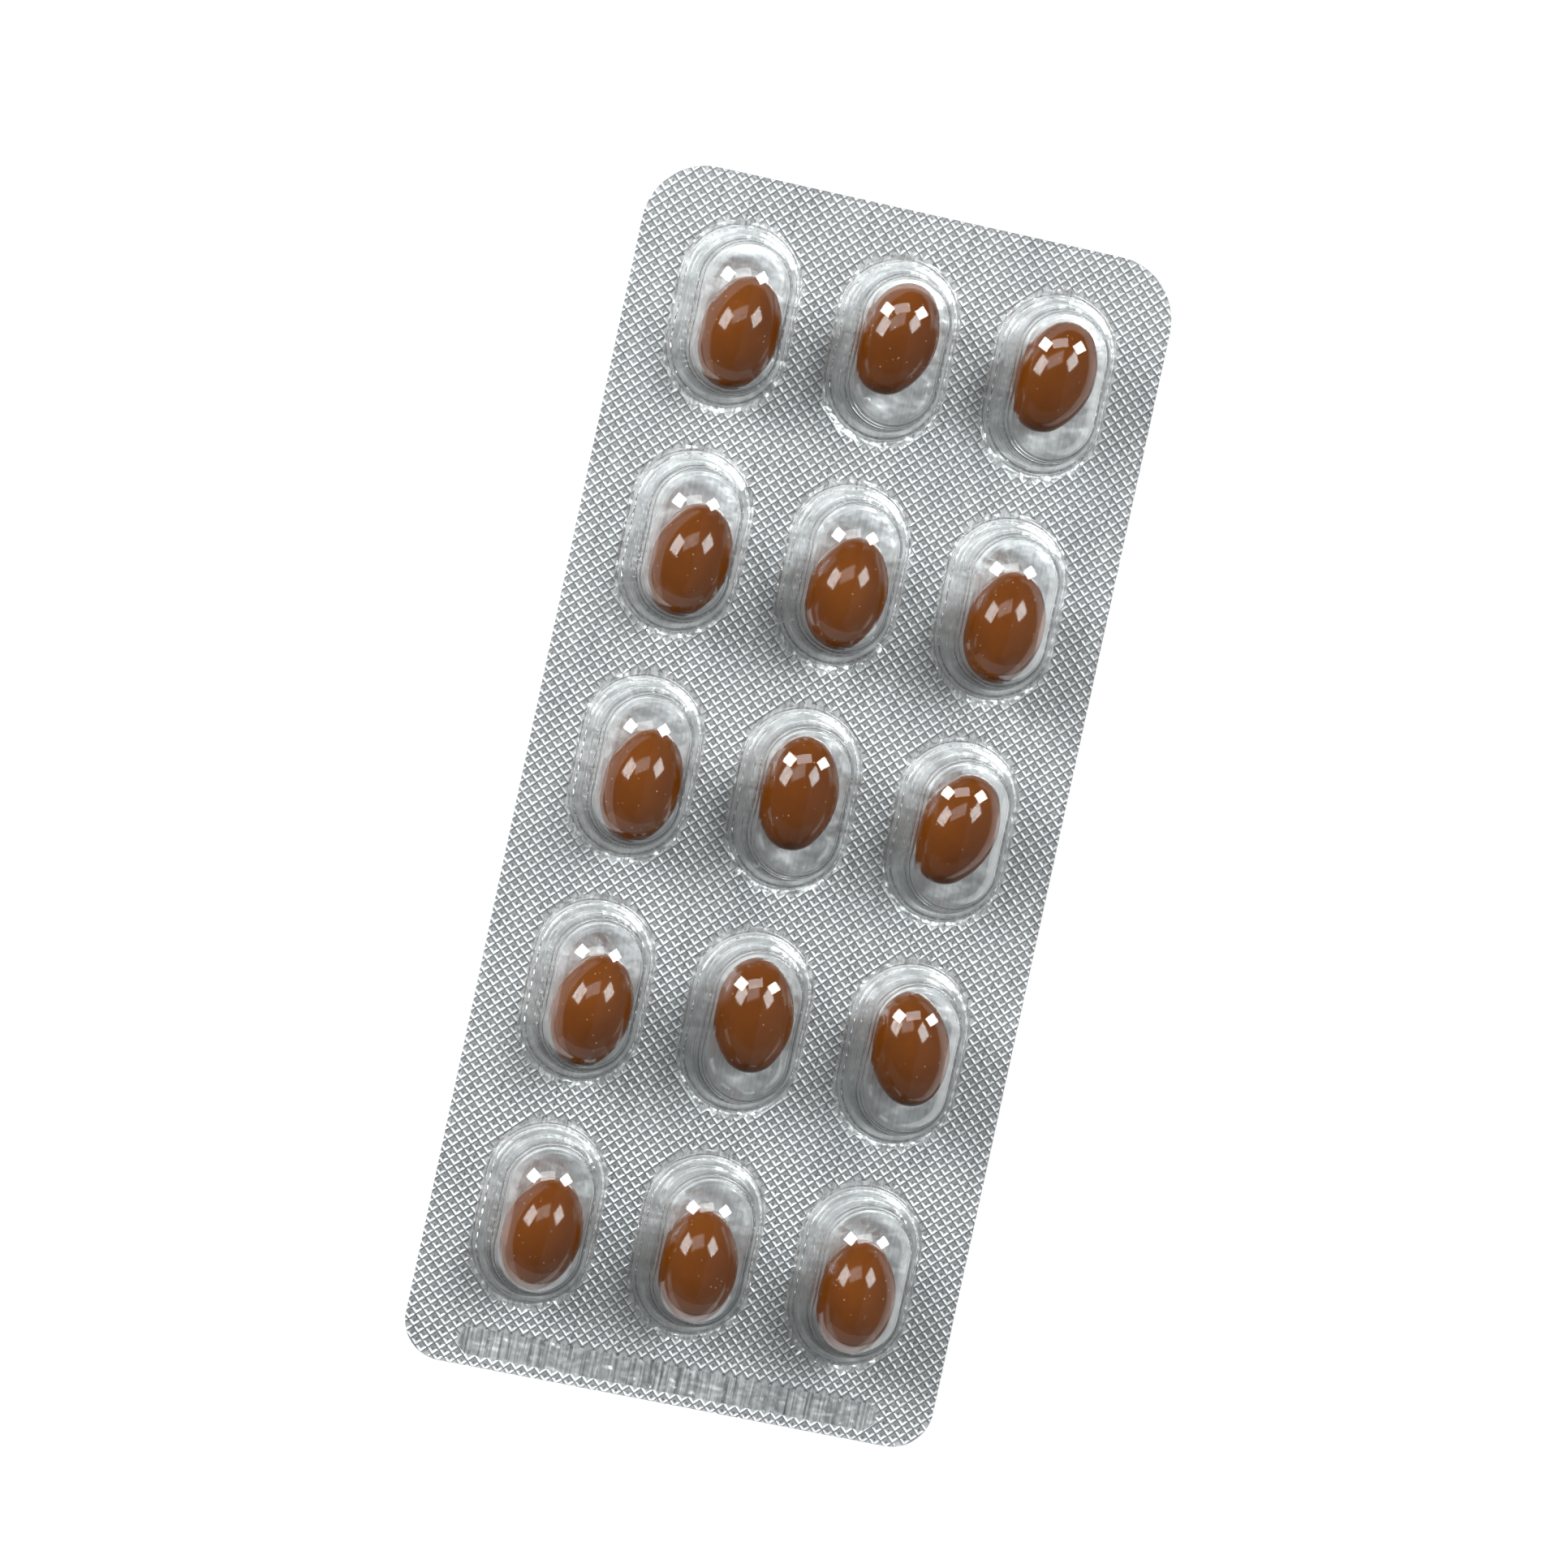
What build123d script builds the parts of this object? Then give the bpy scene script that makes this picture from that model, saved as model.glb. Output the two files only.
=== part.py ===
"""Blister pack of softgel capsules: a clear formed film with stepped pockets, closed by foil.

Frame: origin at the centre of the foil's underside, +X across the card, +Y along it to the plain
end, which has the wider corner radii, and +Z up through the pockets. Millimetres and degrees.
"""

from build123d import *
import math
import os

# One softgel: an oval of revolution that lies on the foil.
SOFTGEL_LENGTH = 11.4
SOFTGEL_DIAMETER = 7.9
SOFTGEL_TIP_RADIUS = 3.0

# The two sheets: hard aluminium lidding under a film that thins where it is drawn into pockets.
FOIL_THICKNESS = 0.03
WEB_THICKNESS = 0.25
WALL_THICKNESS = 0.20

# The room that a pocket leaves round its softgel.
SIDE_CLEARANCE = 0.53
END_CLEARANCE = 1.30
HEADROOM = 0.27

# The pocket's steps, from the web up: a low spreading skirt, a narrow ledge and a drafted wall.
SKIRT_SPREAD = 0.33
LEDGE_WIDTH = 0.60
LEDGE_RISE = 0.12
LEDGE_HEIGHT = 1.42
WALL_DRAFT = 9.4

# The grid of pockets, and the card's margins and corners. The band end is the longer margin,
# where a band across the card stays smooth.
ROWS = 5
COLUMNS = ("left", "middle", "right")
COLUMN_GAP = 4.05
ROW_GAP = 4.4
SIDE_MARGIN = 4.8
PLAIN_END_MARGIN = 4.85
BAND_END_MARGIN = 7.05
PLAIN_END_RADIUS = 6.4
BAND_END_RADIUS = 4.1

# How each softgel lies, row by row from the plain end: its shift across and along as shares of
# the room on that side, and its lean to the right in degrees.
SOFTGEL_PLACES = (
    ((0.70, -0.82, 7), (-0.70, 0.68, 10), (-0.70, 0.50, 12)),
    ((0.68, -0.85, 9), (0.19, -0.87, 6), (0.15, -0.87, 5)),
    ((0.70, -0.82, 6), (-0.70, 0.46, 0), (-0.40, 0.30, 14)),
    ((0.49, -0.83, 7), (0.00, 0.62, -6), (-0.26, 0.52, -15)),
    ((0.21, -0.80, 6), (-0.28, -0.86, -4), (-0.30, -0.87, -3)),
)

# What follows from them: the crown's outer arc and its centre's height above the foil, the
# pocket's half width at its ledge, shoulder and base, its straight run, and the card's size.
CROWN_RADIUS = SOFTGEL_DIAMETER / 2 + SIDE_CLEARANCE + WALL_THICKNESS
CROWN_CENTRE = SOFTGEL_DIAMETER / 2 + HEADROOM - SIDE_CLEARANCE
DRAFT_SINE = math.sin(math.radians(WALL_DRAFT))
DRAFT_COSINE = math.cos(math.radians(WALL_DRAFT))
LEDGE_HALF_WIDTH = (CROWN_RADIUS + (CROWN_CENTRE - LEDGE_HEIGHT) * DRAFT_SINE) / DRAFT_COSINE
SHOULDER_HALF_WIDTH = LEDGE_HALF_WIDTH + LEDGE_WIDTH
BASE_HALF_WIDTH = SHOULDER_HALF_WIDTH + SKIRT_SPREAD
STRAIGHT_RUN = SOFTGEL_LENGTH - SOFTGEL_DIAMETER + 2 * END_CLEARANCE
COLUMN_PITCH = 2 * BASE_HALF_WIDTH + COLUMN_GAP
ROW_PITCH = 2 * BASE_HALF_WIDTH + STRAIGHT_RUN + ROW_GAP
GRID_WIDTH = len(COLUMNS) * COLUMN_PITCH - COLUMN_GAP
GRID_LENGTH = ROWS * ROW_PITCH - ROW_GAP
GRID_SHIFT = (BAND_END_MARGIN - PLAIN_END_MARGIN) / 2
CARD_WIDTH = GRID_WIDTH + 2 * SIDE_MARGIN
CARD_LENGTH = GRID_LENGTH + PLAIN_END_MARGIN + BAND_END_MARGIN


def pocket_places():
    """Each pocket's row, column, and centre on the card, from the plain end."""
    for row in range(ROWS):
        for column in range(len(COLUMNS)):
            x = (column - (len(COLUMNS) - 1) / 2) * COLUMN_PITCH
            y = ((ROWS - 1) / 2 - row) * ROW_PITCH + GRID_SHIFT
            yield row, column, (x, y)


def card_sheet(bottom, thickness):
    """A flat sheet with the card's outline, whose two ends have their own corner radii."""
    outline = Rectangle(CARD_WIDTH, CARD_LENGTH)
    outline = fillet(outline.vertices().group_by(Axis.Y)[-1], PLAIN_END_RADIUS)
    outline = fillet(outline.vertices().group_by(Axis.Y)[0], BAND_END_RADIUS)
    return Pos(0, 0, bottom) * extrude(outline, thickness)


def pocket_section(inset):
    """Half of the pocket's section, standing on the foil, with each wall moved in by the inset.

    The drafted wall is the crown arc's tangent where their slopes meet.
    """
    radius = CROWN_RADIUS - inset
    ledge_height = LEDGE_HEIGHT - inset
    ledge = (radius + (CROWN_CENTRE - ledge_height) * DRAFT_SINE) / DRAFT_COSINE
    with BuildSketch() as section:
        with BuildLine():
            Polyline(
                (0, CROWN_CENTRE + radius),
                (0, 0),
                (BASE_HALF_WIDTH - inset, 0),
                (SHOULDER_HALF_WIDTH - inset, ledge_height - LEDGE_RISE),
                (ledge, ledge_height),
                (radius * DRAFT_COSINE, CROWN_CENTRE + radius * DRAFT_SINE),
            )
            CenterArc((0, CROWN_CENTRE), radius, WALL_DRAFT, 90 - WALL_DRAFT)
        make_face()
    return Plane.XZ * section.sketch


def pocket_bump(inset):
    """The pocket as a full solid: its section swept along the straight run and turned at each end."""
    half = pocket_section(inset)
    run = extrude(half + mirror(half, Plane.YZ), STRAIGHT_RUN / 2, both=True)
    turned = revolve(half, Axis.Z)
    return run + [Pos(0, y, 0) * turned for y in (-STRAIGHT_RUN / 2, STRAIGHT_RUN / 2)]


def forming_film():
    """The clear film: a flat web with thin-walled pockets that are open underneath."""
    places = [Pos(x, y, FOIL_THICKNESS) for _, _, (x, y) in pocket_places()]
    outer = pocket_bump(0)
    inner = pocket_bump(WALL_THICKNESS)
    film = card_sheet(FOIL_THICKNESS, WEB_THICKNESS) + [place * outer for place in places]
    return film - [place * inner for place in places]


def softgel_body():
    """One softgel along Y: a barrel arc that runs on into two round tips, turned about its length."""
    radius = SOFTGEL_DIAMETER / 2
    tip_centre = SOFTGEL_LENGTH / 2 - SOFTGEL_TIP_RADIUS
    barrel_radius = (tip_centre**2 + radius**2 - SOFTGEL_TIP_RADIUS**2) / (
        2 * (radius - SOFTGEL_TIP_RADIUS)
    )
    turn = math.degrees(math.atan2(tip_centre, barrel_radius - radius))
    with BuildSketch() as half:
        with BuildLine():
            CenterArc((0, -tip_centre), SOFTGEL_TIP_RADIUS, -90, 90 - turn)
            CenterArc((radius - barrel_radius, 0), barrel_radius, -turn, 2 * turn)
            CenterArc((0, tip_centre), SOFTGEL_TIP_RADIUS, turn, 90 - turn)
            Line((0, SOFTGEL_LENGTH / 2), (0, -SOFTGEL_LENGTH / 2))
        make_face()
    return revolve(half.sketch, Axis.Y)


def softgel(centre, shares, lean):
    """One softgel lying on the foil in the pocket at that centre, off its middle by the shares."""
    x = centre[0] + shares[0] * SIDE_CLEARANCE
    y = centre[1] + shares[1] * (SIDE_CLEARANCE + END_CLEARANCE)
    return Pos(x, y, FOIL_THICKNESS + SOFTGEL_DIAMETER / 2) * Rot(0, 0, -lean) * softgel_body()


os.makedirs("parts", exist_ok=True)
export_step(card_sheet(0, FOIL_THICKNESS), "parts/lidding_foil.step")
export_step(forming_film(), "parts/forming_film.step")
for row, column, centre in pocket_places():
    across, along, lean = SOFTGEL_PLACES[row][column]
    body = softgel(centre, (across, along), lean)
    export_step(body, f"parts/softgel_row{row + 1}_{COLUMNS[column]}.step")
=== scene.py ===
import math

import bpy
import numpy as np
from mathutils import Euler, Matrix, Vector
from mathutils.geometry import delaunay_2d_cdt


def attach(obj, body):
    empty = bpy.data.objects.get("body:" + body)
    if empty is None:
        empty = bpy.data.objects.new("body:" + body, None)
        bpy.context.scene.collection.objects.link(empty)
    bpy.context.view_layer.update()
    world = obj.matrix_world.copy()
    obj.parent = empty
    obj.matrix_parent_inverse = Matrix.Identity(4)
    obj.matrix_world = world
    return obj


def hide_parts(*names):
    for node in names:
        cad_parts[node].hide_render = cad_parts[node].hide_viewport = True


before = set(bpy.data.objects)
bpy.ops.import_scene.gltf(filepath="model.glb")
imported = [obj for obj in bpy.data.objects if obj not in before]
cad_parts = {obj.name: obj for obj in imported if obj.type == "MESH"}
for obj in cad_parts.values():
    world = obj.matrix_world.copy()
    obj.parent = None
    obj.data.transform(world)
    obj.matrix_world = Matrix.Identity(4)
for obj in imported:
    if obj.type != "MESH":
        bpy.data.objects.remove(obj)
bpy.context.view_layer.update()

MM = 0.001


# The studio. The card lies on a white table under two softboxes, one low on the left and one on
# the right, with a dimmer screen between them. A dim panel high on the right and a dim wall at the
# band's end fill in under a dark ceiling. A long lens looks down from a little to the left.
CAMERA_PLACE = (-0.12540, 0.03679, 0.70953)
CAMERA_TURN = (-4.799, -9.115, 12.419)
SENSOR_WIDTH = 36.0
FOCAL_PIXELS = 9000.0
PICTURE_PIXELS = 1932.0
SOFTBOX_DISTANCE = 0.9
CEILING = (0.07, 0.07, 0.07, 1)
HORIZON = (0.15, 0.15, 0.15, 1)
HORIZON_TOP = 0.08
CEILING_FOOT = 0.20

camera_data = bpy.data.cameras.new("camera")
camera_data.sensor_width = SENSOR_WIDTH
camera_data.lens = SENSOR_WIDTH * FOCAL_PIXELS / PICTURE_PIXELS
camera = bpy.data.objects.new("camera", camera_data)
camera.location = CAMERA_PLACE
camera.rotation_euler = Euler([math.radians(turn) for turn in CAMERA_TURN])
bpy.context.scene.collection.objects.link(camera)
bpy.context.scene.camera = camera


def softbox(name, direction, edge, width, height, radiance):
    """A rectangular lamp up that direction from the card, facing it, with one edge along edge.

    Its sizes are shares of its distance, and its power is pi times its area times its radiance.
    """
    away = Vector(direction).normalized()
    across = (Vector(edge) - away * Vector(edge).dot(away)).normalized()
    lamp = bpy.data.lights.new(name, "AREA")
    lamp.shape = "RECTANGLE"
    lamp.size = width * SOFTBOX_DISTANCE
    lamp.size_y = height * SOFTBOX_DISTANCE
    lamp.energy = math.pi * lamp.size * lamp.size_y * radiance
    holder = bpy.data.objects.new(name, lamp)
    turn = Matrix((across, away.cross(across), away)).transposed()
    holder.matrix_world = Matrix.Translation(away * SOFTBOX_DISTANCE) @ turn.to_4x4()
    bpy.context.scene.collection.objects.link(holder)


softbox("left_softbox", (-0.805, 0.360, 0.471), (0.393, -0.269, 0.879), 0.50, 0.44, 12.0)
softbox("right_softbox", (0.452, 0.484, 0.749), (0.669, -0.740, 0.074), 0.40, 0.46, 12.0)
softbox("middle_screen", (-0.332, 0.538, 0.775), (0.926, 0.343, 0.157), 0.65, 0.40, 3.0)
softbox("ceiling_panel", (0.685, -0.249, 0.685), (1, 0, -1), 1.55, 1.40, 0.07)
softbox("near_wall", (0, -0.94, 0.34), (1, 0, 0), 2.4, 0.50, 0.24)


def shader_node(tree, kind, **sockets):
    """A new node of that kind, with values for the sockets that are named."""
    made = tree.nodes.new(kind)
    for name, value in sockets.items():
        made.inputs[name.replace("_", " ")].default_value = value
    return made


def math_node(tree, operation, kind="ShaderNodeMath"):
    """A new node that does that operation, on single numbers or, where the kind says so, vectors."""
    made = tree.nodes.new(kind)
    made.operation = operation
    return made


def mix_node(tree, blend="MIX", **sockets):
    """A new node that blends the colours A and B in that way, with values for the named sockets."""
    made = tree.nodes.new("ShaderNodeMix")
    made.data_type = "RGBA"
    made.blend_type = blend
    for name, value in sockets.items():
        made.inputs[name].default_value = value
    return made


def grey(value):
    """That grey as a colour."""
    return (value, value, value, 1)


def ramp_node(tree, *stops):
    """A new node that turns a number into a colour, by (position, colour) stops in rising order.
    A new ramp has its two ends, which take the first stop and the last one.
    """
    made = tree.nodes.new("ShaderNodeValToRGB")
    elements = made.color_ramp.elements
    for element, (position, colour) in zip((elements[0], elements[1]), (stops[0], stops[-1])):
        element.color = colour
        element.position = position
    for position, colour in stops[1:-1]:
        elements.new(position).color = colour
    return made


world = bpy.data.worlds.new("studio_room")
world.use_nodes = True
bpy.context.scene.world = world
tree = world.node_tree
sight = tree.nodes.new("ShaderNodeTexCoord")
height = tree.nodes.new("ShaderNodeSeparateXYZ")
rise = shader_node(tree, "ShaderNodeMapRange", From_Min=HORIZON_TOP, From_Max=CEILING_FOOT)
rise.interpolation_type = "SMOOTHSTEP"
shade = mix_node(tree, A=HORIZON, B=CEILING)
tree.links.new(sight.outputs["Generated"], height.inputs[0])
tree.links.new(height.outputs["Z"], rise.inputs["Value"])
tree.links.new(rise.outputs["Result"], shade.inputs["Factor"])
tree.links.new(shade.outputs["Result"], tree.nodes["Background"].inputs["Color"])


def surface(name, points, faces, material, crease=None):
    """A smooth mesh object in the card's frame from points in millimetres. Edges over the crease
    angle, where one is given, stay sharp.
    """
    mesh = bpy.data.meshes.new(name)
    mesh.from_pydata((np.asarray(points) * MM).tolist(), [], faces)
    mesh.validate()
    mesh.polygons.foreach_set("use_smooth", [True] * len(mesh.polygons))
    if crease is not None:
        mesh.set_sharp_from_angle(angle=math.radians(crease))
    mesh.materials.append(material)
    piece = bpy.data.objects.new(name, mesh)
    bpy.context.scene.collection.objects.link(piece)
    return piece


def plain_material(name):
    """A new material whose tree is empty but for its output."""
    made = bpy.data.materials.new(name)
    made.use_nodes = True
    made.node_tree.nodes.clear()
    return made, made.node_tree, made.node_tree.nodes.new("ShaderNodeOutputMaterial")


# The table: a wide white sheet just under the foil. What the camera, metal and glass see of it
# glows a little, so that it is white there with no more light on the card.
TABLE_REACH = 4000.0
TABLE_DROP = 0.02
TABLE_WHITE = (0.82, 0.82, 0.82, 1)
TABLE_GLOW = 0.32

table_white, tree, output = plain_material("table_white")
paint = shader_node(tree, "ShaderNodeBsdfDiffuse", Color=TABLE_WHITE)
lift = shader_node(tree, "ShaderNodeEmission", Color=(1, 1, 1, 1))
rays = tree.nodes.new("ShaderNodeLightPath")
seen = math_node(tree, "MAXIMUM")
also = math_node(tree, "MAXIMUM")
strength = math_node(tree, "MULTIPLY")
strength.inputs[1].default_value = TABLE_GLOW
both = tree.nodes.new("ShaderNodeAddShader")
tree.links.new(rays.outputs["Is Camera Ray"], seen.inputs[0])
tree.links.new(rays.outputs["Is Glossy Ray"], seen.inputs[1])
tree.links.new(seen.outputs[0], also.inputs[0])
tree.links.new(rays.outputs["Is Transmission Ray"], also.inputs[1])
tree.links.new(also.outputs[0], strength.inputs[0])
tree.links.new(strength.outputs[0], lift.inputs["Strength"])
tree.links.new(paint.outputs[0], both.inputs[0])
tree.links.new(lift.outputs[0], both.inputs[1])
tree.links.new(both.outputs[0], output.inputs["Surface"])
table_corners = np.array([(-1, -1), (1, -1), (1, 1), (-1, 1)]) * TABLE_REACH
table = surface(
    "table", np.column_stack([table_corners, np.full(4, -TABLE_DROP)]), [(0, 1, 2, 3)], table_white
)


# The forming film: hard clear plastic, drawn hot into fifteen stepped pockets. Its flat web is
# sealed to the foil under a knurled plate, so its underside carries the foil's pattern of pits.
POCKET_COLUMNS = (-16.149, 0.0, 16.149)
POCKET_ROWS = (46.297, 23.699, 1.1, -21.499, -44.097)
POCKET_RUN = 3.05
WEB_UNDERSIDE = 0.027
WEB_TOP = 0.28
OUTER_CORNERS = ((7.0, 0.28), (5.986, 0.28), (5.719, 1.33), (5.119, 1.45), (4.617, 4.485))
INNER_CORNERS = ((7.0, 0.027), (5.849, 0.027), (5.519, 1.13), (4.942, 1.25), (4.420, 4.452))
OUTER_BENDS = (0.40, 0.34, 0.26)
INNER_BENDS = (0.20, 0.18, 0.36)
CROWN_HEIGHT = 3.72
OUTER_CROWN = 4.68
INNER_CROWN = 4.48
WALL_DRAFT = math.radians(9.4)
BEND_STEPS = 6
CROWN_STEPS = 13
END_STEPS = 30
CREASE = 16


def bent_profile(corners, bends, crown):
    """Half of a pocket's section from the web up: straight runs with an arc in each corner, then
    the crown. Each arc touches both runs at its radius over tan(half the corner's angle) from the
    corner. The crown is the circle about (0, CROWN_HEIGHT) from the draft angle up to 90 degrees.
    """
    pieces = []
    corners = np.array(corners)
    for before, at, after, radius in zip(corners, corners[1:], corners[2:], bends):
        back = (before - at) / np.linalg.norm(before - at)
        on = (after - at) / np.linalg.norm(after - at)
        half = math.acos(np.clip(back @ on, -1, 1)) / 2
        middle = at + (back + on) / np.linalg.norm(back + on) * radius / math.sin(half)
        first = at + back * radius / math.tan(half) - middle
        last = at + on * radius / math.tan(half) - middle
        share = np.linspace(0, 1, BEND_STEPS + 1)[:, None]
        sweep = math.pi - 2 * half
        pieces.append(
            middle + (np.sin((1 - share) * sweep) * first + np.sin(share * sweep) * last) / math.sin(sweep)
        )
    angle = np.linspace(WALL_DRAFT, math.pi / 2, CROWN_STEPS + 1)
    pieces.append(np.column_stack([crown * np.cos(angle), CROWN_HEIGHT + crown * np.sin(angle)]))
    pieces[-1][-1, 0] = 0.0
    return np.concatenate(pieces)


def pocket_loop(radius, run, centre):
    """A ring round a pocket: half circles about the run's two ends, joined by straight sides."""
    angle = np.linspace(0, math.pi, END_STEPS + 1)
    far = np.column_stack([radius * np.cos(angle), run + radius * np.sin(angle)])
    return np.concatenate([far, -far]) + centre


def pocket_skin(profile, centre):
    """A pocket's wall: each (radius, height) of the profile as a ring, stacked from the web up."""
    rings = [
        np.column_stack([pocket_loop(radius, POCKET_RUN, centre), np.full(2 * END_STEPS + 2, height)])
        for radius, height in profile
    ]
    return grid_surface(np.array(rings))


def grid_surface(grid):
    """Points and quads of a grid of points, whose rows are closed rings."""
    rows, columns = grid.shape[:2]
    number = np.arange(rows * columns).reshape(rows, columns)
    low, high = number[:-1], number[1:]
    quads = np.stack([low, np.roll(low, -1, 1), np.roll(high, -1, 1), high], axis=-1)
    return grid.reshape(-1, 3), quads.reshape(-1, 4)


CARD_HALF_WIDTH = 26.998
CARD_HALF_LENGTH = 60.247
PLAIN_END_RADIUS = 6.4
BAND_END_RADIUS = 4.1
CORNER_STEPS = 12
SIDE_STEP = 0.6
NEARLY = 1e-4
JUST_INSIDE = 1e-6
PLACES_PER_MM = 1e4
SAME_POINT = 1e-5
NO_AREA = 1e-9


def card_outline():
    """The card's outline, counter-clockwise: a quarter circle at each corner of the rectangle, and
    evenly spaced points on the sides between them.
    """
    quarters = []
    for right, far, start, radius in (
        (1, 1, 0, PLAIN_END_RADIUS),
        (-1, 1, 90, PLAIN_END_RADIUS),
        (-1, -1, 180, BAND_END_RADIUS),
        (1, -1, 270, BAND_END_RADIUS),
    ):
        angle = np.radians(np.linspace(start, start + 90, CORNER_STEPS + 1))
        middle = (right * (CARD_HALF_WIDTH - radius), far * (CARD_HALF_LENGTH - radius))
        quarters.append(np.column_stack([np.cos(angle), np.sin(angle)]) * radius + middle)
    outline = []
    for quarter, after in zip(quarters, quarters[1:] + quarters[:1]):
        gap = after[0] - quarter[-1]
        share = np.linspace(0, 1, math.ceil(np.linalg.norm(gap) / SIDE_STEP) + 1)[1:-1, None]
        outline += [quarter, quarter[-1] + share * gap]
    return np.concatenate(outline)


def from_outline(x, y):
    """How far a point is outside the card's outline; less than 0 inside."""
    radius = np.where(y > 0, PLAIN_END_RADIUS, BAND_END_RADIUS)
    over_x = np.abs(x) - CARD_HALF_WIDTH + radius
    over_y = np.abs(y) - CARD_HALF_LENGTH + radius
    corner = np.hypot(np.maximum(over_x, 0), np.maximum(over_y, 0))
    return corner + np.minimum(np.maximum(over_x, over_y), 0) - radius


def from_pockets(x, y, radius, run):
    """How far a point is outside the nearest pocket's oval of that radius and half run."""
    away_x = np.min([np.abs(x - column) for column in POCKET_COLUMNS], axis=0)
    away_y = np.min([np.abs(y - row) for row in POCKET_ROWS], axis=0)
    return np.hypot(away_x, np.maximum(away_y - run, 0)) - radius


# The knurl: square pits on a grid at 45 degrees with sharp ridges between them. It stops at an
# oval round each pocket and at the smooth band along the lower end.
KNURL_PITCH = 0.855
KNURL_WALL = 0.225
KNURL_LAND = 0.042
KNURL_HEIGHT = 0.075
KNURL_STOP_RADIUS = 6.12
KNURL_STOP_RUN = 3.43
BAND_MIDDLE = (0.0, -57.78)
BAND_HALF_RUN = 20.0
BAND_RADIUS = 1.38
KNURL_RIM = 0.035
MANY_HALVINGS = 24


def from_grid_lines(x, y):
    """How far a point is from the nearest line of the knurl's grid, whose lines run at 45 degrees."""
    lines = np.array([(x + y), (y - x)]) / (math.sqrt(2) * KNURL_PITCH)
    return np.abs(lines - np.round(lines)).min(axis=0) * KNURL_PITCH


def from_knurl(x, y):
    """How far a point is outside the knurled area; less than 0 where the card is knurled."""
    pocket = from_pockets(x, y, KNURL_STOP_RADIUS, KNURL_STOP_RUN)
    along = np.maximum(np.abs(x - BAND_MIDDLE[0]) - BAND_HALF_RUN, 0)
    band = np.hypot(along, y - BAND_MIDDLE[1]) - BAND_RADIUS
    return np.maximum(from_outline(x, y) + KNURL_RIM, -np.minimum(pocket, band))


def knurl_relief(points, land):
    """The ridges' height: full within the land's width of the grid's lines, then falling evenly to
    0 at the wall's foot. Ridges run out to 0 at a pocket or the band, and end sharply at the rim.
    """
    x, y = points.T
    height = KNURL_HEIGHT * np.clip((KNURL_WALL - from_grid_lines(x, y)) / (KNURL_WALL - land), 0, 1)
    at_rim = np.abs(from_outline(x, y) + KNURL_RIM) < NEARLY
    inside = (from_knurl(x, y) < -JUST_INSIDE) | at_rim & (from_knurl(x, y) < NEARLY)
    return np.where(inside, height, 0.0)


def knurl_lines(land):
    """The pits' edges in the card's plane: each cell's rim square, one land's width in from the
    grid's lines, its floor square and the four lines that join their corners. An edge that crosses
    the knurl's limit is cut there, by halving the part that holds the crossing. An edge that two
    cells share is kept once, by its ends' rounded places, each made into one whole number.
    """
    reach = math.ceil((CARD_HALF_WIDTH + CARD_HALF_LENGTH) / (math.sqrt(2) * KNURL_PITCH)) + 1
    cell = np.array(np.meshgrid(*[np.arange(-reach, reach)] * 2)).reshape(2, -1).T
    square = np.array([(0, 0), (1, 0), (1, 1), (0, 1)])
    corners = np.concatenate([
        share + (1 - 2 * share) * square for share in (land / KNURL_PITCH, KNURL_WALL / KNURL_PITCH)
    ])
    steps = (cell[:, None] + corners) * KNURL_PITCH
    flat = np.stack([steps[..., 0] - steps[..., 1], steps[..., 0] + steps[..., 1]], -1) / math.sqrt(2)
    kept = (from_knurl(flat[..., 0], flat[..., 1]) < 0).any(axis=1)
    flat = flat[kept]
    rim = [(0, 1), (1, 2), (2, 3), (3, 0)]
    floor = [(4, 5), (5, 6), (6, 7), (7, 4)]
    wall_corners = [(0, 4), (1, 5), (2, 6), (3, 7)]
    ends = flat[:, rim + floor + wall_corners].reshape(-1, 2, 2)
    keys = np.sort(np.round(ends * PLACES_PER_MM).astype(np.int64) @ (1, 10**8), axis=1)
    ends = ends[np.unique(keys, axis=0, return_index=True)[1]]
    out = from_knurl(ends[..., 0], ends[..., 1]) >= 0
    ends = ends[~out.all(axis=1)]
    out = out[~out.all(axis=1)]
    ends[out[:, 0]] = ends[out[:, 0], ::-1]
    out = out.any(axis=1)
    good, bad = ends[out, 0].copy(), ends[out, 1].copy()
    for _ in range(MANY_HALVINGS):
        middle = (good + bad) / 2
        past = (from_knurl(*middle.T) >= 0)[:, None]
        good, bad = np.where(past, good, middle), np.where(past, middle, bad)
    ends[out, 1] = good
    return ends.reshape(-1, 2), np.arange(2 * len(ends)).reshape(-1, 2)


def loop_edges(loop):
    """The edges that close a loop of points, as pairs of their numbers."""
    number = np.arange(len(loop))
    return np.column_stack([number, np.roll(number, -1)])


def flat_mesh(parts, keep):
    """Triangles over the card from (points, edges) parts. Every edge is kept as a line of the
    mesh. A triangle is kept where it has some area and keep(x, y) is true at its middle.
    """
    points = np.concatenate([part[0] for part in parts])
    starts = np.cumsum([0] + [len(part[0]) for part in parts[:-1]])
    edges = np.concatenate([part[1] + start for part, start in zip(parts, starts)])
    flat, _, faces, origins, *_ = delaunay_2d_cdt(
        [Vector(point) for point in points.tolist()], edges.tolist(), [], 0, SAME_POINT, True
    )
    first = np.array([origin[0] if origin else -1 for origin in origins])
    flat = np.where(first[:, None] >= 0, points[first], np.array(flat))
    faces = np.array(faces)
    corners = flat[faces]
    area = np.cross(corners[:, 1] - corners[:, 0], corners[:, 2] - corners[:, 0])
    return flat, faces[keep(*corners.mean(axis=1).T) & (np.abs(area) > NO_AREA)]


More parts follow.
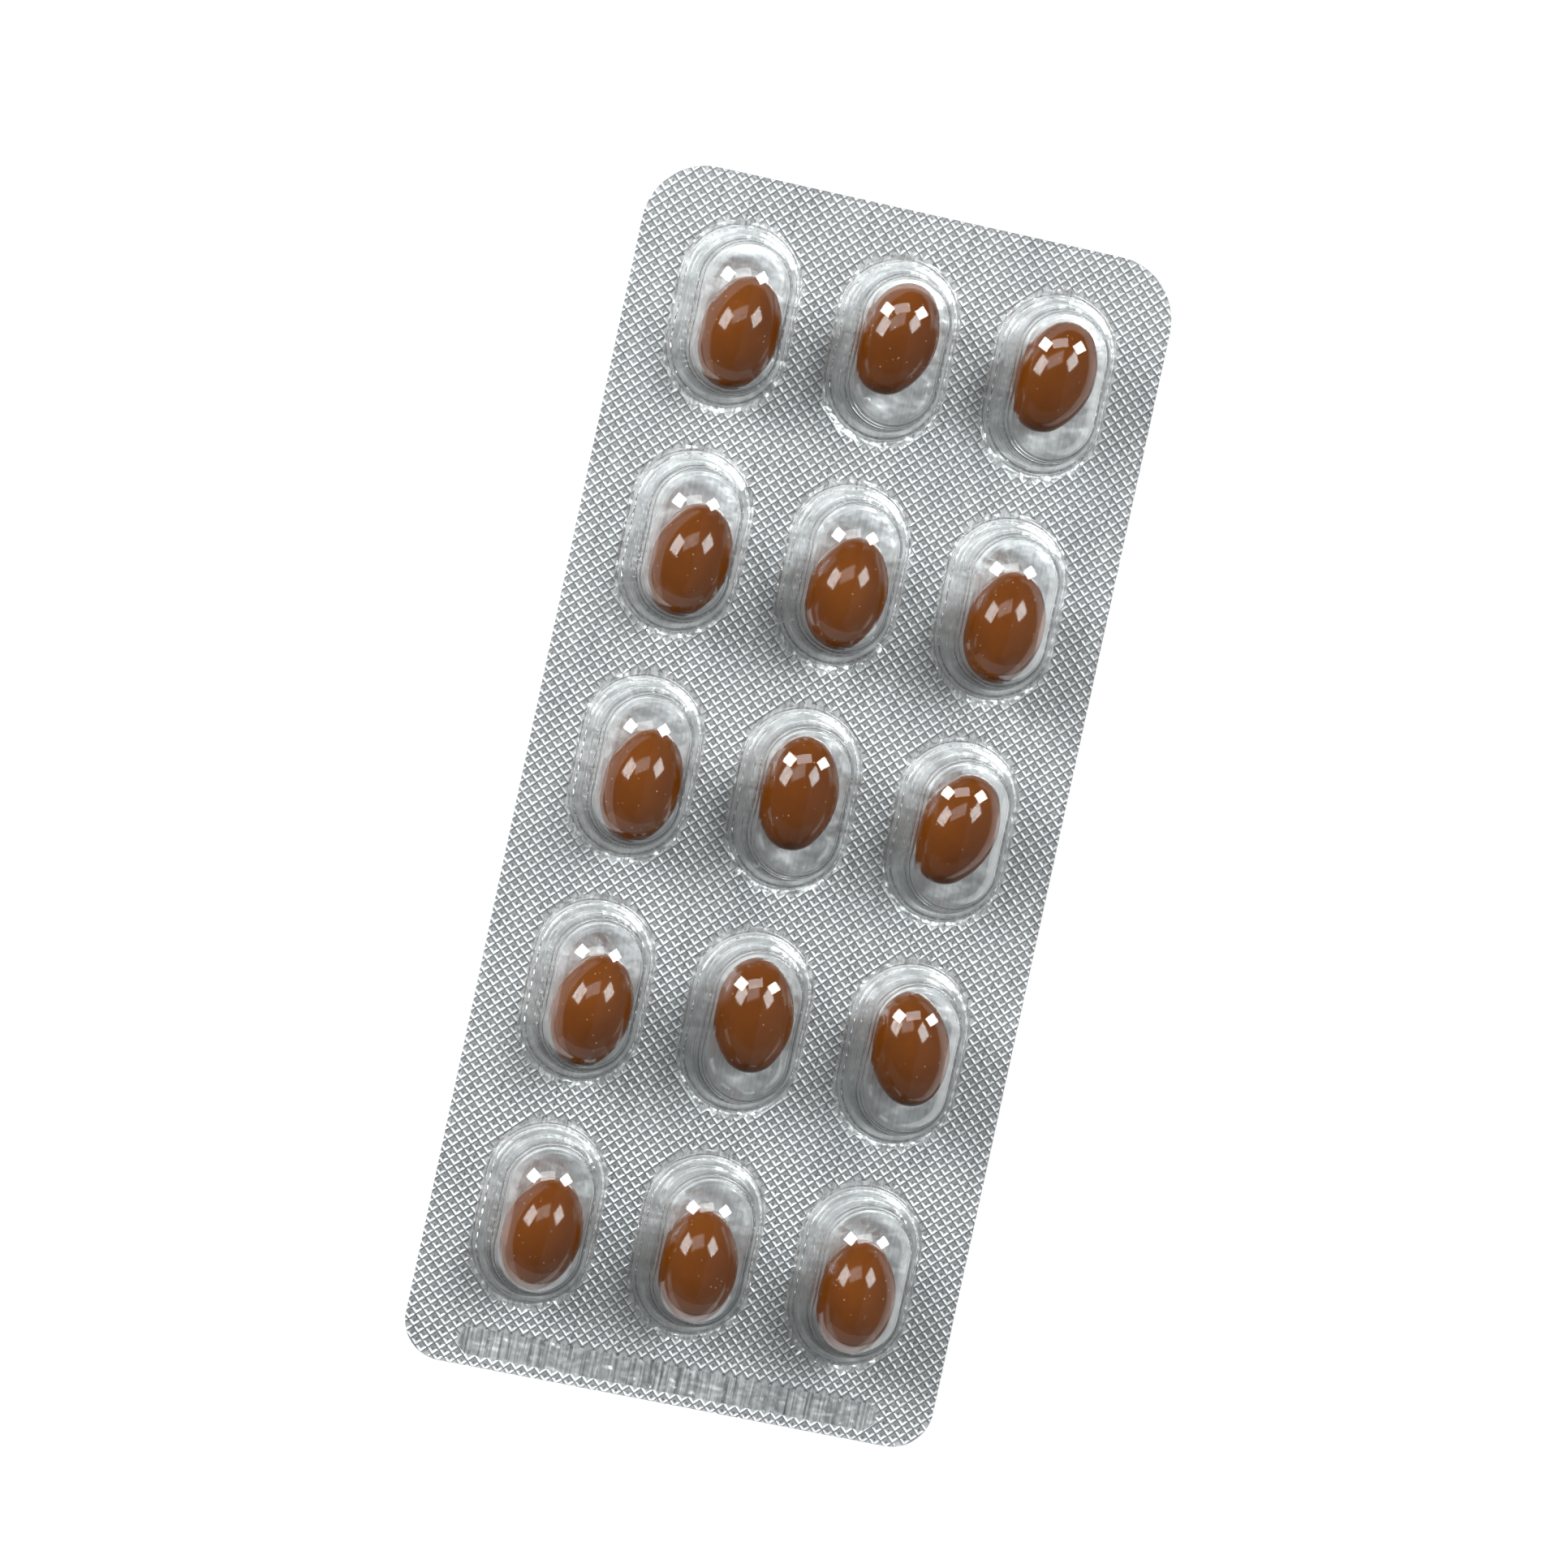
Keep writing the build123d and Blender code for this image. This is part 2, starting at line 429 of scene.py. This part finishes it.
def edge_strip(loop, low, high):
    """Quads up a sheet's cut edge, between the loop at the low height and at the high one."""
    ring = [np.column_stack([loop, np.full(len(loop), height)]) for height in (low, high)]
    return grid_surface(np.array(ring))


def welded(parts):
    """Joins (points, faces) parts into one mesh: points at the same rounded place become one, a
    quad with two corners at one place becomes a triangle, and one that has shrunk further goes.
    """
    starts = np.cumsum([0] + [len(points) for points, _ in parts[:-1]])
    points = np.concatenate([points for points, _ in parts])
    keys = np.round(points * PLACES_PER_MM).astype(np.int64) @ (1, 10**7, 10**14)
    _, first, number = np.unique(keys, return_index=True, return_inverse=True)
    number = number.ravel()
    faces = []
    for (_, part), start in zip(parts, starts):
        part = number[part + start]
        if part.shape[1] == 4:
            doubled = part == np.roll(part, -1, axis=1)
            faces += part[~doubled.any(axis=1)].tolist()
            once = doubled.sum(axis=1) == 1
            part = part[once][~doubled[once]].reshape(-1, 3)
        faces += part.tolist()
    return points[first], faces


outer_profile = bent_profile(OUTER_CORNERS, OUTER_BENDS, OUTER_CROWN)
inner_profile = bent_profile(INNER_CORNERS, INNER_BENDS, INNER_CROWN)
pocket_centres = [(x, y) for y in POCKET_ROWS for x in POCKET_COLUMNS]
RING_SAG = 0.02


def on_web(radius):
    """A test for points inside the card's outline and outside every pocket's first ring, whose
    chords lie up to RING_SAG inside its arcs.
    """
    return lambda x, y: (from_outline(x, y) < NEARLY) & (from_pockets(x, y, radius, POCKET_RUN) > -RING_SAG)


outline = card_outline()


def film_face(profile, lines):
    """One flat face of the web: triangles between the rim, the pockets' first rings and the lines."""
    rings = [pocket_loop(profile[0, 0], POCKET_RUN, centre) for centre in pocket_centres]
    loops = [(loop, loop_edges(loop)) for loop in [outline] + rings]
    return flat_mesh(loops + lines, on_web(profile[0, 0]))


under_flat, under_faces = film_face(inner_profile, [knurl_lines(0)])
over_flat, over_faces = film_face(outer_profile, [])
under_points = np.column_stack([under_flat, WEB_UNDERSIDE + knurl_relief(under_flat, 0)])
over_points = np.column_stack([over_flat, np.full(len(over_flat), WEB_TOP)])
film_parts = [
    (under_points, under_faces[:, ::-1]),
    (over_points, over_faces),
    edge_strip(outline, WEB_UNDERSIDE, WEB_TOP),
]
for centre in pocket_centres:
    film_parts.append(pocket_skin(outer_profile, centre))
    points, faces = pocket_skin(inner_profile, centre)
    film_parts.append((points, faces[:, ::-1]))

clear_film, tree, output = plain_material("clear_film")
place = tree.nodes.new("ShaderNodeTexCoord")
waviness = shader_node(tree, "ShaderNodeTexNoise", Scale=420.0, Detail=2.0, Roughness=0.5)
ripple = shader_node(tree, "ShaderNodeBump", Strength=0.25, Distance=0.00004)
glass = shader_node(
    tree,
    "ShaderNodeBsdfPrincipled",
    Base_Color=(0.95, 0.975, 0.975, 1),
    IOR=1.54,
    Transmission_Weight=1.0,
)
# Drawing leaves fine uneven rings round the walls and the crowns' edges. They follow the profile,
# by the height less the way from the pocket's middle line, which grows from the web to the top.
drawn = tree.nodes.new("ShaderNodeAttribute")
drawn.attribute_name = "drawn"
rings_round = shader_node(tree, "ShaderNodeTexNoise", Scale=1.3, Detail=1.0, Roughness=0.4)
rings_round.noise_dimensions = "1D"
on_wall = shader_node(tree, "ShaderNodeMapRange", From_Min=0.42, From_Max=0.62, To_Min=1.0, To_Max=0.0)
draw_mark = shader_node(tree, "ShaderNodeBump", Distance=0.00006)
tree.links.new(drawn.outputs["Fac"], rings_round.inputs["W"])
tree.links.new(rings_round.outputs["Fac"], draw_mark.inputs["Height"])
tree.links.new(on_wall.outputs["Result"], draw_mark.inputs["Strength"])
tree.links.new(ripple.outputs["Normal"], draw_mark.inputs["Normal"])
# The drawn walls are a little hazier than the web and the crowns, and let a little less through.
facing = tree.nodes.new("ShaderNodeNewGeometry")
upward = tree.nodes.new("ShaderNodeSeparateXYZ")
steep = math_node(tree, "ABSOLUTE")
haze = shader_node(tree, "ShaderNodeMapRange", From_Min=0.2, From_Max=0.45, To_Min=0.035, To_Max=0.015)
tree.links.new(facing.outputs["True Normal"], upward.inputs[0])
tree.links.new(upward.outputs["Z"], steep.inputs[0])
tree.links.new(steep.outputs[0], haze.inputs["Value"])
tree.links.new(steep.outputs[0], on_wall.inputs["Value"])
tree.links.new(haze.outputs["Result"], glass.inputs["Roughness"])
# Light from the lamps reaches what is under the film straight, without bending: to shadow rays,
# to rays that a dull surface sends out, and to those that leave the foil or a softgel for the
# film, which meet its near face first, and then its far face after one clear one.
rays = tree.nodes.new("ShaderNodeLightPath")
passing = math_node(tree, "MAXIMUM")
near_face = math_node(tree, "SUBTRACT")
near_face.inputs[0].default_value = 1.0
either_face = math_node(tree, "ADD")
either_face.use_clamp = True
from_below = math_node(tree, "MULTIPLY")
straight = math_node(tree, "MAXIMUM")
through = tree.nodes.new("ShaderNodeBsdfTransparent")
passed = ramp_node(tree, (0.2, (0.92, 0.93, 0.935, 1)), (0.7, (0.965, 0.975, 0.972, 1)))
tree.links.new(steep.outputs[0], passed.inputs["Fac"])
tree.links.new(passed.outputs["Color"], through.inputs["Color"])
film_mix = tree.nodes.new("ShaderNodeMixShader")
tree.links.new(place.outputs["Object"], waviness.inputs["Vector"])
tree.links.new(waviness.outputs["Fac"], ripple.inputs["Height"])
tree.links.new(draw_mark.outputs["Normal"], glass.inputs["Normal"])
tree.links.new(rays.outputs["Is Shadow Ray"], passing.inputs[0])
tree.links.new(rays.outputs["Is Diffuse Ray"], passing.inputs[1])
tree.links.new(facing.outputs["Backfacing"], near_face.inputs[1])
tree.links.new(near_face.outputs[0], either_face.inputs[0])
tree.links.new(rays.outputs["Transparent Depth"], either_face.inputs[1])
tree.links.new(rays.outputs["Is Glossy Ray"], from_below.inputs[0])
tree.links.new(either_face.outputs[0], from_below.inputs[1])
tree.links.new(passing.outputs[0], straight.inputs[0])
tree.links.new(from_below.outputs[0], straight.inputs[1])
tree.links.new(straight.outputs[0], film_mix.inputs["Fac"])
tree.links.new(glass.outputs[0], film_mix.inputs[1])
tree.links.new(through.outputs[0], film_mix.inputs[2])
tree.links.new(film_mix.outputs[0], output.inputs["Surface"])

film = surface("clear_forming_film", *welded(film_parts), clear_film, crease=CREASE)
spots = np.empty(3 * len(film.data.vertices))
film.data.vertices.foreach_get("co", spots)
x, y, z = spots.reshape(-1, 3).T / MM
up_profile = film.data.attributes.new("drawn", "FLOAT", "POINT")
up_profile.data.foreach_set("value", (z - from_pockets(x, y, 0, POCKET_RUN)).astype(np.float32))
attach(film, "root")
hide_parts("forming_film")


# The softgels: soft oval capsules of caramel-brown gelatin round a dark oily fill, glossy, with
# fine dust on them. One lies loose on the foil in each pocket.
SOFTGEL_LENGTH = 11.4
SOFTGEL_RADIUS = 3.95
TIP_RADIUS = 3.0
SOFTGEL_STEPS = 48
SOFTGEL_SIDES = 72
FOIL_TOP = 0.03
SIDE_ROOM = 0.53
END_ROOM = 1.83
SOFTGEL_PLACES = (
    ((0.70, -0.82, 7), (-0.70, 0.68, 10), (-0.70, 0.50, 12)),
    ((0.68, -0.85, 9), (0.19, -0.87, 6), (0.15, -0.87, 5)),
    ((0.70, -0.82, 6), (-0.70, 0.46, 0), (-0.40, 0.30, 14)),
    ((0.49, -0.83, 7), (0.00, 0.62, -6), (-0.26, 0.52, -15)),
    ((0.21, -0.80, 6), (-0.28, -0.86, -4), (-0.30, -0.87, -3)),
)
COLUMN_NAMES = ("left", "middle", "right")


def softgel_skin():
    """An oval turned about its length. Its outline's slope goes evenly from one tip to the other:
    near a tip the point is on the tip's circle, and between the tips on the barrel's larger one,
    whose radius is (middle^2 + radius^2 - tip^2) / (2 (radius - tip)), so that they meet smoothly.
    """
    tip_middle = SOFTGEL_LENGTH / 2 - TIP_RADIUS
    barrel = (tip_middle**2 + SOFTGEL_RADIUS**2 - TIP_RADIUS**2) / (2 * (SOFTGEL_RADIUS - TIP_RADIUS))
    meeting = math.atan2(tip_middle, barrel - SOFTGEL_RADIUS)
    slope = np.linspace(-math.pi / 2, math.pi / 2, SOFTGEL_STEPS + 1)
    tip = np.abs(slope) > meeting
    radius = np.where(tip, TIP_RADIUS, barrel)
    out = np.where(tip, 0, SOFTGEL_RADIUS - barrel) + radius * np.cos(slope)
    along = np.where(tip, np.sign(slope) * tip_middle, 0) + radius * np.sin(slope)
    out[[0, -1]] = 0
    turn = np.linspace(0, 2 * math.pi, SOFTGEL_SIDES, endpoint=False)
    along = np.repeat(along[:, None], SOFTGEL_SIDES, 1)
    grid = np.stack([out[:, None] * np.cos(turn), along, -out[:, None] * np.sin(turn)], -1)
    return grid_surface(grid)


gelatin, tree, output = plain_material("caramel_gelatin")
place = tree.nodes.new("ShaderNodeTexCoord")
cloud = shader_node(tree, "ShaderNodeTexNoise", Scale=160.0, Detail=3.0, Roughness=0.55)
tone = ramp_node(tree, (0.3, (0.152, 0.038, 0.003, 1)), (0.72, (0.206, 0.055, 0.005, 1)))
gel = shader_node(
    tree,
    "ShaderNodeBsdfPrincipled",
    Roughness=0.09,
    IOR=1.5,
    Subsurface_Weight=0.08,
    Subsurface_Radius=(1.0, 0.35, 0.1),
    Subsurface_Scale=0.0015,
)
dust = shader_node(tree, "ShaderNodeTexVoronoi", Scale=2100.0)
dust_size = tree.nodes.new("ShaderNodeSeparateColor")
grain_edge = shader_node(tree, "ShaderNodeMapRange", From_Min=0.6, From_Max=1.0, To_Max=0.17)
speck = math_node(tree, "LESS_THAN")
dusty = mix_node(tree, B=(0.50, 0.37, 0.25, 1))
tree.links.new(place.outputs["Object"], dust.inputs["Vector"])
tree.links.new(dust.outputs["Color"], dust_size.inputs["Color"])
tree.links.new(dust_size.outputs["Red"], grain_edge.inputs["Value"])
tree.links.new(dust.outputs["Distance"], speck.inputs[0])
tree.links.new(grain_edge.outputs["Result"], speck.inputs[1])
tree.links.new(speck.outputs[0], dusty.inputs["Factor"])
tree.links.new(place.outputs["Object"], cloud.inputs["Vector"])
tree.links.new(cloud.outputs["Fac"], tone.inputs["Fac"])
tree.links.new(tone.outputs["Color"], dusty.inputs["A"])
tree.links.new(dusty.outputs["Result"], gel.inputs["Base Color"])
tree.links.new(gel.outputs[0], output.inputs["Surface"])

skin, skin_faces = softgel_skin()
for row, places in enumerate(SOFTGEL_PLACES):
    for column, (across, along, lean) in enumerate(places):
        turn = math.radians(-lean)
        spin = np.array([[math.cos(turn), -math.sin(turn)], [math.sin(turn), math.cos(turn)]])
        points = skin.copy()
        points[:, :2] = points[:, :2] @ spin.T + (
            POCKET_COLUMNS[column] + across * SIDE_ROOM,
            POCKET_ROWS[row] + along * END_ROOM,
        )
        points[:, 2] += FOIL_TOP + SOFTGEL_RADIUS
        name = f"softgel_row{row + 1}_{COLUMN_NAMES[column]}"
        softgel = surface("gelatin_" + name, *welded([(points, skin_faces)]), gelatin)
        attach(softgel, "root")
        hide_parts(name)


# The lidding: hard aluminium foil, heat-sealed to the film's web. The sealing plate presses the
# knurl into it, and it stays smooth under the pockets and in the band along the lower end.
FOIL_THICKNESS = 0.03
PUFF_EDGE = 5.8
PUFF_HEIGHT = 0.2
PUFF_RISE = 2.7
PUFF_FALL = 1.6
FLOOR_RINGS = (5.8, 5.68, 5.55, 5.38, 5.18, 4.95, 4.7, 4.45, 4.15, 3.8, 3.4, 2.95, 2.5, 1.95)
PIT_MARGIN = 0.3
# The pits' floors are painted a little darker, with a pale ring of painted highlight and a dark dot of
# painted shade in each.
PIT_RING = 0.185
PIT_DOT = 0.055
PIT_FLOOR_SHADE = 0.72
PIT_DOT_SHADE = 0.35
BAND_LOOSE = 0.15
FLOOR_LOOSE = 0.3


def floor_puff(points):
    """The foil stands up a little inside each pocket's edge, where the seal has drawn it tight: a
    smooth rise over PUFF_RISE from the edge, then a smooth fall over PUFF_FALL to the flat middle
    that the softgel lies on. Each is half a wave of a cosine.
    """
    inward = -from_pockets(*points.T, PUFF_EDGE, POCKET_RUN)
    rise = np.clip(inward / PUFF_RISE, 0, 1)
    fall = np.clip((inward - PUFF_RISE) / PUFF_FALL, 0, 1)
    return PUFF_HEIGHT * (0.5 - 0.5 * np.cos(math.pi * rise)) * (0.5 + 0.5 * np.cos(math.pi * fall))


def foil_face(land):
    """One face of the foil: triangles between its rim, the knurl's lines and the floors' rings."""
    floors = [pocket_loop(radius, POCKET_RUN, centre) for radius in FLOOR_RINGS for centre in pocket_centres]
    loops = [(loop, loop_edges(loop)) for loop in [outline] + floors]
    return flat_mesh([knurl_lines(land)] + loops, lambda x, y: from_outline(x, y) < NEARLY)


upper_flat, upper_faces = foil_face(KNURL_LAND)
lower_flat, lower_faces = foil_face(0)
upper_relief = knurl_relief(upper_flat, KNURL_LAND) + floor_puff(upper_flat)
lower_relief = knurl_relief(lower_flat, 0) + floor_puff(lower_flat)
upper = np.column_stack([upper_flat, FOIL_TOP + upper_relief])
lower = np.column_stack([lower_flat, FOIL_TOP - FOIL_THICKNESS + lower_relief])
foil_edge = edge_strip(outline, FOIL_TOP - FOIL_THICKNESS, FOIL_TOP)


def pressed_parts(mesh):
    """For each face that looks up, in red whether it is a pit's floor and in green whether it is a
    ridge's top, by how far its middle is from the grid's lines where the knurl is whole, and in
    blue how loose the smooth foil is: least in the band, more on a pocket's floor, and 1 in the
    collar round it.
    """
    middle = np.empty(3 * len(mesh.polygons))
    normal = np.empty(3 * len(mesh.polygons))
    mesh.polygons.foreach_get("center", middle)
    mesh.polygons.foreach_get("normal", normal)
    x, y, _ = middle.reshape(-1, 3).T / MM
    away = from_grid_lines(x, y)
    up = normal[2::3] > 0.5
    floor = up & (away > KNURL_WALL) & (from_knurl(x, y) < -PIT_MARGIN)
    ridge = up & (away < KNURL_LAND) & (from_knurl(x, y) < -KNURL_LAND)
    round_pocket = up & (from_pockets(x, y, KNURL_STOP_RADIUS, KNURL_STOP_RUN) < 0)
    inside = from_pockets(x, y, PUFF_EDGE, POCKET_RUN) < 0
    smooth = up & (from_knurl(x, y) > 0)
    loose = smooth * np.where(inside, FLOOR_LOOSE, np.where(round_pocket, 1.0, BAND_LOOSE))
    return np.column_stack([floor, ridge, loose, np.ones_like(loose)]).astype(np.float32)


# The blue mask picks each part's finish: 0 where the plate has pressed and dulled the foil,
# BAND_LOOSE for the crumpled band, FLOOR_LOOSE for the fresh floors, and 1 for the collars.
aluminium, tree, output = plain_material("sealed_aluminium")
place = tree.nodes.new("ShaderNodeTexCoord")
stretched = shader_node(tree, "ShaderNodeMapping", Scale=(9000.0, 260.0, 260.0))
streaks = shader_node(tree, "ShaderNodeTexNoise", Scale=1.0, Detail=3.0, Roughness=0.6)
grip = shader_node(tree, "ShaderNodeMapRange", To_Min=0.62, To_Max=0.70)
mottle = shader_node(tree, "ShaderNodeTexNoise", Scale=110.0, Detail=4.0, Roughness=0.6)
tone = ramp_node(tree, (0.3, (0.80, 0.82, 0.835, 1)), (0.7, (0.94, 0.955, 0.965, 1)))
fresh = mix_node(tree, "MULTIPLY", Factor=1.0)
dulling = ramp_node(tree, (0, grey(0.74)), (FLOOR_LOOSE, grey(1)), (1, grey(0.86)))
waves = shader_node(tree, "ShaderNodeTexNoise", Scale=700.0, Detail=2.0)
dent = shader_node(tree, "ShaderNodeBump", Strength=0.5, Distance=0.00008)
sag = shader_node(tree, "ShaderNodeTexNoise", Scale=330.0, Detail=1.5)
hollow = shader_node(tree, "ShaderNodeBump", Distance=0.00032)
pucker = shader_node(tree, "ShaderNodeTexNoise", Scale=1100.0, Detail=1.0)
parts = tree.nodes.new("ShaderNodeAttribute")
parts.attribute_name = "pressed"
masks = tree.nodes.new("ShaderNodeSeparateColor")
unpressed = shader_node(tree, "ShaderNodeMapRange", From_Max=FLOOR_LOOSE)
crumple = ramp_node(
    tree, (0, grey(0)), (BAND_LOOSE, grey(0.75)), (FLOOR_LOOSE, grey(0.3)), (1, grey(1))
)
crease = shader_node(tree, "ShaderNodeBump", Distance=0.00018)
scratch = shader_node(tree, "ShaderNodeBump", Strength=0.1, Distance=0.00001)
across_card = shader_node(tree, "ShaderNodeCombineXYZ", X=1.0)
tree.links.new(place.outputs["Object"], stretched.inputs["Vector"])
tree.links.new(stretched.outputs["Vector"], streaks.inputs["Vector"])
tree.links.new(streaks.outputs["Fac"], grip.inputs["Value"])
tree.links.new(place.outputs["Object"], waves.inputs["Vector"])
tree.links.new(waves.outputs["Fac"], dent.inputs["Height"])
tree.links.new(place.outputs["Object"], pucker.inputs["Vector"])
tree.links.new(parts.outputs["Color"], masks.inputs["Color"])
tree.links.new(masks.outputs["Blue"], crumple.inputs["Fac"])
tree.links.new(crumple.outputs["Color"], crease.inputs["Strength"])
tree.links.new(pucker.outputs["Fac"], crease.inputs["Height"])
tree.links.new(place.outputs["Object"], sag.inputs["Vector"])
tree.links.new(sag.outputs["Fac"], hollow.inputs["Height"])
tree.links.new(unpressed.outputs["Result"], hollow.inputs["Strength"])
tree.links.new(dent.outputs["Normal"], hollow.inputs["Normal"])
tree.links.new(hollow.outputs["Normal"], crease.inputs["Normal"])
tree.links.new(crease.outputs["Normal"], scratch.inputs["Normal"])
tree.links.new(streaks.outputs["Fac"], scratch.inputs["Height"])
tree.links.new(place.outputs["Object"], mottle.inputs["Vector"])
tree.links.new(mottle.outputs["Fac"], tone.inputs["Fac"])

# Each pit's floor is painted a little darker, with a pale square ring of painted highlight and a dark dot of
# painted shade in it. These stand for the light and shade on the small mark that the sealing plate leaves
# there. The ridges' tops get dark hairlines of painted shade. The grid's own coordinates run in cells from 0
# to 1.
to_grid = shader_node(
    tree, "ShaderNodeMapping", Rotation=(0, 0, -math.pi / 4), Scale=[1 / (KNURL_PITCH * MM)] * 3
)
in_cell = math_node(tree, "FRACTION", "ShaderNodeVectorMath")
centred = math_node(tree, "SUBTRACT", "ShaderNodeVectorMath")
centred.inputs[1].default_value = (0.5, 0.5, 0.5)
spread = math_node(tree, "ABSOLUTE", "ShaderNodeVectorMath")
sides = tree.nodes.new("ShaderNodeSeparateXYZ")
from_middle = math_node(tree, "MAXIMUM")
pit_light_and_shade = ramp_node(
    tree,
    (0, grey(PIT_DOT_SHADE)),
    (PIT_DOT / KNURL_PITCH, grey(PIT_DOT_SHADE)),
    (PIT_DOT / KNURL_PITCH + 0.02, grey(PIT_FLOOR_SHADE)),
    (PIT_RING / KNURL_PITCH - 0.04, grey(PIT_FLOOR_SHADE)),
    (PIT_RING / KNURL_PITCH - 0.02, grey(1)),
    (PIT_RING / KNURL_PITCH + 0.02, grey(1)),
    (PIT_RING / KNURL_PITCH + 0.04, grey(PIT_FLOOR_SHADE)),
    (1, grey(PIT_FLOOR_SHADE)),
)
pit_painted_light = mix_node(tree, "MULTIPLY")
# The ridges' tops are multiplied dark: hairlines of painted shade between the cells.
ridge_shade_lines = mix_node(tree, "MULTIPLY", B=(0.34, 0.34, 0.345, 1))
tree.links.new(place.outputs["Object"], to_grid.inputs["Vector"])
tree.links.new(to_grid.outputs["Vector"], in_cell.inputs[0])
tree.links.new(in_cell.outputs["Vector"], centred.inputs[0])
tree.links.new(centred.outputs["Vector"], spread.inputs[0])
tree.links.new(spread.outputs["Vector"], sides.inputs[0])
tree.links.new(sides.outputs["X"], from_middle.inputs[0])
tree.links.new(sides.outputs["Y"], from_middle.inputs[1])
tree.links.new(from_middle.outputs[0], pit_light_and_shade.inputs["Fac"])
tree.links.new(masks.outputs["Red"], pit_painted_light.inputs["Factor"])
tree.links.new(masks.outputs["Blue"], unpressed.inputs["Value"])
tree.links.new(masks.outputs["Blue"], dulling.inputs["Fac"])
tree.links.new(tone.outputs["Color"], fresh.inputs["A"])
tree.links.new(dulling.outputs["Color"], fresh.inputs["B"])
tree.links.new(fresh.outputs["Result"], pit_painted_light.inputs["A"])
tree.links.new(pit_light_and_shade.outputs["Color"], pit_painted_light.inputs["B"])
tree.links.new(masks.outputs["Green"], ridge_shade_lines.inputs["Factor"])
tree.links.new(pit_painted_light.outputs["Result"], ridge_shade_lines.inputs["A"])

# The rolled metal's gloss is a wide soft lobe from its grain and a narrow one from its smooth
# parts. The share of the narrow one goes by the part's finish and varies in lines along the card.
grain = shader_node(tree, "ShaderNodeBsdfPrincipled", Metallic=1.0, Anisotropic=0.5)
polish = shader_node(tree, "ShaderNodeBsdfPrincipled", Metallic=1.0, Roughness=0.17, Anisotropic=0.5)
gloss = tree.nodes.new("ShaderNodeMixShader")
share = ramp_node(
    tree, (0, grey(0.42)), (BAND_LOOSE, grey(0.68)), (FLOOR_LOOSE, grey(0.28)), (1, grey(0.58))
)
rolled = shader_node(tree, "ShaderNodeMapping", Scale=(3000.0, 110.0, 110.0))
rolling = shader_node(tree, "ShaderNodeTexNoise", Scale=1.0, Detail=3.0, Roughness=0.65)
uneven = shader_node(tree, "ShaderNodeMapRange", From_Min=0.3, From_Max=0.7, To_Min=0.5, To_Max=1.45)
streaked = math_node(tree, "MULTIPLY")
tree.links.new(masks.outputs["Blue"], share.inputs["Fac"])
tree.links.new(place.outputs["Object"], rolled.inputs["Vector"])
tree.links.new(rolled.outputs["Vector"], rolling.inputs["Vector"])
tree.links.new(rolling.outputs["Fac"], uneven.inputs["Value"])
tree.links.new(share.outputs["Color"], streaked.inputs[0])
tree.links.new(uneven.outputs["Result"], streaked.inputs[1])
tree.links.new(streaked.outputs[0], gloss.inputs["Fac"])
for lobe in (grain, polish):
    tree.links.new(across_card.outputs[0], lobe.inputs["Tangent"])
    tree.links.new(scratch.outputs["Normal"], lobe.inputs["Normal"])
    tree.links.new(ridge_shade_lines.outputs["Result"], lobe.inputs["Base Color"])
tree.links.new(grip.outputs["Result"], grain.inputs["Roughness"])
tree.links.new(grain.outputs[0], gloss.inputs[1])
tree.links.new(polish.outputs[0], gloss.inputs[2])
tree.links.new(gloss.outputs[0], output.inputs["Surface"])

foil = surface(
    "knurled_lidding_foil",
    *welded([(upper, upper_faces), (lower, lower_faces[:, ::-1]), foil_edge]),
    aluminium,
    crease=CREASE,
)
marks = foil.data.attributes.new("pressed", "FLOAT_COLOR", "FACE")
marks.data.foreach_set("color", pressed_parts(foil.data).ravel())
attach(foil, "root")
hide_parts("lidding_foil")


# The view's settings, and the renderer's bounces and denoising.
scene = bpy.context.scene
scene.view_settings.view_transform = "Standard"
scene.cycles.max_bounces = 14
scene.cycles.transmission_bounces = 12
scene.cycles.glossy_bounces = 6
scene.cycles.transparent_max_bounces = 24
scene.cycles.use_denoising = True
